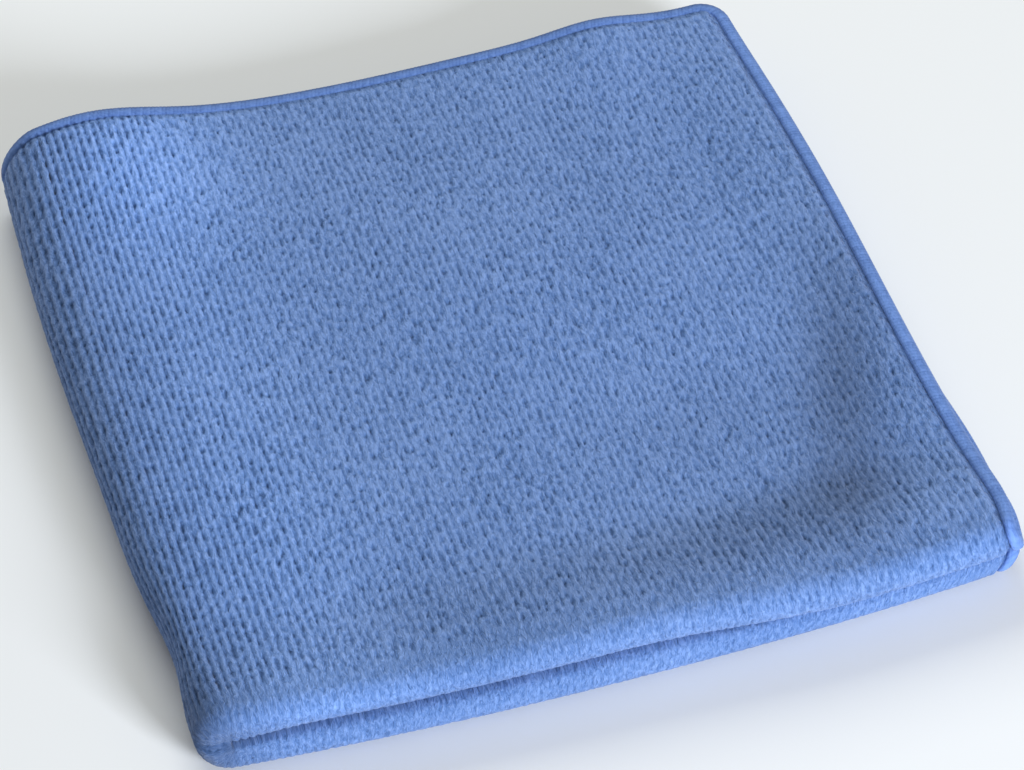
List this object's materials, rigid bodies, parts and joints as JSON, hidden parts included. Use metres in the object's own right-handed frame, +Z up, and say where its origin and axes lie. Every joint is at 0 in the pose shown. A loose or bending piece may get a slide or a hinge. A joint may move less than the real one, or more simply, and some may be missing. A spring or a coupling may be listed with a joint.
{
  "type": "folded polishing cloth",
  "caption": "Square looped-terry polishing cloth with an overlocked edge, folded into a flat layered hand pad whose upper half opens about the side fold.",
  "frame": {"origin": "centre of the underside of the folded pad", "axes": "+Z up out of the top layer, +X from the side fold towards the open right edge, +Y from the front fold towards the open far edge"},
  "size_m": [0.2002, 0.2008, 0.0184],
  "materials": {
    "terry": "blue looped microfibre terry, matte with a soft sheen, pile in columns",
    "edging": "blue textured polyester overlock thread, dense stitches across the edge, satin"
  },
  "bodies": {
    "lower_half": {"corner_edging_1": "edging", "corner_edging_2": "edging", "edging_front_turn_lower": "edging", "edging_side_turn_inner": "edging", "edging_side_turn_outer": "edging", "far_edging_1": "edging", "far_edging_2": "edging", "fold_corner": "terry", "front_fold_lower": "terry", "right_edging_1": "edging", "right_edging_2": "edging", "side_fold_inner": "terry", "side_fold_outer": "terry", "terry_layer_1": "terry", "terry_layer_2": "terry"},
    "upper_half": {"corner_edging_3": "edging", "corner_edging_4": "edging", "edging_front_turn_upper": "edging", "far_edging_3": "edging", "far_edging_4": "edging", "front_fold_upper": "terry", "right_edging_3": "edging", "right_edging_4": "edging", "terry_layer_3": "terry", "terry_layer_4": "terry"}
  },
  "joints": [
    {"name": "half_fold", "type": "hinge", "parent": "lower_half", "child": "upper_half", "pos_m": [-0.0909, 0, 0.0092], "axis": [0, -1, 0], "range_deg": [0, 178], "deforming": ["side_fold_outer", "side_fold_inner", "fold_corner", "edging_side_turn_outer", "edging_side_turn_inner"]}
  ]
}
